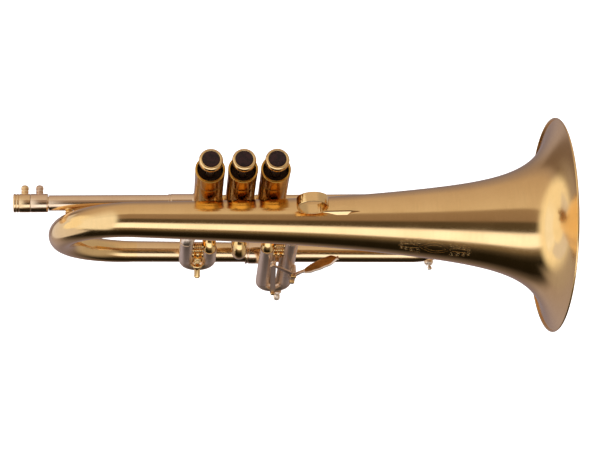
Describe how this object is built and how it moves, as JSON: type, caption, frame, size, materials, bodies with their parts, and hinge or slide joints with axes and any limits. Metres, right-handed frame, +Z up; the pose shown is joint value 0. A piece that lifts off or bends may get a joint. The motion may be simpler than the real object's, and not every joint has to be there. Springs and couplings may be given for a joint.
{
  "type": "flugelhorn",
  "caption": "Piston-valve flugelhorn with a wide conical bell, one large loop, a sliding mouthpipe, upright valve slides, a trigger and a finger ring.",
  "frame": {"origin": "the middle valve's axis at the height of the bell's rim centre, where the left hand holds the valve casings", "axes": "+X out of the bell, +Z up along the valves, +Y to the player's left"},
  "size_m": [0.4226, 0.1676, 0.231],
  "materials": {
    "satin_gold_brass": "satin brushed, lacquered",
    "polished_gold_brass": "polished",
    "brushed_nickel_silver": "brushed",
    "spring_steel": "bare wire",
    "black_felt": "matt",
    "dark_pearl": "gloss"
  },
  "bodies": {
    "horn": {"bell": "satin_gold_brass", "back_bow": "satin_gold_brass", "lower_tube": "satin_gold_brass", "tube_ferrule": "satin_gold_brass", "front_bow": "satin_gold_brass", "branch_tube": "satin_gold_brass", "water_key_seat": "brushed_nickel_silver", "valve_casing_1": "satin_gold_brass", "top_cap_1": "satin_gold_brass", "bottom_cap_1": "satin_gold_brass", "cap_felt_1": "black_felt", "piston_spring_1": "spring_steel", "valve_casing_2": "satin_gold_brass", "top_cap_2": "satin_gold_brass", "bottom_cap_2": "satin_gold_brass", "cap_felt_2": "black_felt", "piston_spring_2": "spring_steel", "valve_casing_3": "satin_gold_brass", "top_cap_3": "satin_gold_brass", "bottom_cap_3": "satin_gold_brass", "cap_felt_3": "black_felt", "piston_spring_3": "spring_steel", "knuckle_1_2": "satin_gold_brass", "knuckle_2_3": "satin_gold_brass", "outer_mouthpipe": "satin_gold_brass", "mouthpipe_ferrule": "satin_gold_brass", "lock_collar": "polished_gold_brass", "mouthpipe_brace": "polished_gold_brass", "first_slide_leg_rear": "brushed_nickel_silver", "first_slide_leg_front": "brushed_nickel_silver", "first_slide_brace": "polished_gold_brass", "third_slide_leg_rear": "brushed_nickel_silver", "third_slide_leg_front": "brushed_nickel_silver", "third_slide_brace": "polished_gold_brass", "second_slide_tube_upper": "polished_gold_brass", "second_slide_tube_lower": "polished_gold_brass", "trigger_post": "brushed_nickel_silver", "pivot_screw": "polished_gold_brass", "ring_leaf": "satin_gold_brass", "finger_ring": "satin_gold_brass"},
    "valve_1": {"piston_1": "brushed_nickel_silver", "finger_button_1": "polished_gold_brass", "button_disc_1": "dark_pearl"},
    "valve_2": {"piston_2": "brushed_nickel_silver", "finger_button_2": "polished_gold_brass", "button_disc_2": "dark_pearl"},
    "valve_3": {"piston_3": "brushed_nickel_silver", "finger_button_3": "polished_gold_brass", "button_disc_3": "dark_pearl"},
    "tuning_slide": {"mouthpiece_receiver": "polished_gold_brass", "receiver_screw": "polished_gold_brass"},
    "lock_screw": {"lock_screw": "polished_gold_brass"},
    "first_slide": {"first_slide_crook": "brushed_nickel_silver", "first_slide_knob": "polished_gold_brass"},
    "second_slide": {"second_slide_crook": "polished_gold_brass"},
    "trigger": {"trigger_lever": "brushed_nickel_silver"},
    "third_slide": {"third_slide_crook": "brushed_nickel_silver", "third_slide_knob": "brushed_nickel_silver"},
    "link": {"link_rod": "brushed_nickel_silver"},
    "water_key": {"water_key_button": "brushed_nickel_silver"}
  },
  "joints": [
    {"name": "valve_1_press", "type": "slide", "parent": "horn", "child": "valve_1", "axis": [0, 0, -1], "range_m": [0, 0.0155], "stiffness_N_per_m": 100, "springref_m": -0.015, "deforming": ["piston_spring_1"]},
    {"name": "valve_2_press", "type": "slide", "parent": "horn", "child": "valve_2", "axis": [0, 0, -1], "range_m": [0, 0.0155], "stiffness_N_per_m": 100, "springref_m": -0.015, "deforming": ["piston_spring_2"]},
    {"name": "valve_3_press", "type": "slide", "parent": "horn", "child": "valve_3", "axis": [0, 0, -1], "range_m": [0, 0.0155], "stiffness_N_per_m": 100, "springref_m": -0.015, "deforming": ["piston_spring_3"]},
    {"name": "tuning_slide_pull", "type": "slide", "parent": "horn", "child": "tuning_slide", "axis": [-1, 0, 0], "range_m": [0, 0.025]},
    {"name": "lock_screw_turn", "type": "hinge", "parent": "horn", "child": "lock_screw", "pos_m": [-0.15615, 0, -0.0215], "axis": [0, 1, 0], "range_deg": [0, 360]},
    {"name": "first_slide_pull", "type": "slide", "parent": "horn", "child": "first_slide", "axis": [0, 0, -1], "range_m": [0, 0.02]},
    {"name": "second_slide_pull", "type": "slide", "parent": "horn", "child": "second_slide", "axis": [0, -1, 0], "range_m": [0, 0.008]},
    {"name": "trigger_pull", "type": "hinge", "parent": "horn", "child": "trigger", "pos_m": [0.0462, -0.036, -0.0877], "axis": [0, -1, 0], "range_deg": [0, 27.3], "stiffness_Nm_per_rad": 0.03, "springref_deg": -28.65},
    {"name": "third_slide_travel", "type": "slide", "parent": "horn", "child": "third_slide", "axis": [0, 0, -1], "range_m": [0, 0.0093]},
    {"name": "link_swing", "type": "hinge", "parent": "third_slide", "child": "link", "pos_m": [0.0322, -0.0325, -0.133], "axis": [0, -1, 0], "range_deg": [0, 6.1]},
    {"name": "water_key_press", "type": "slide", "parent": "horn", "child": "water_key", "axis": [-0.1411, 0.9265, 0.3489], "range_m": [0, 0.0015], "stiffness_N_per_m": 150, "springref_m": -0.002}
  ],
  "couplings": [
    {"joint": "trigger_pull", "follows": "third_slide_travel", "rad_per_m": 51.23},
    {"joint": "link_swing", "follows": "third_slide_travel", "rad_per_m": 11.224}
  ]
}
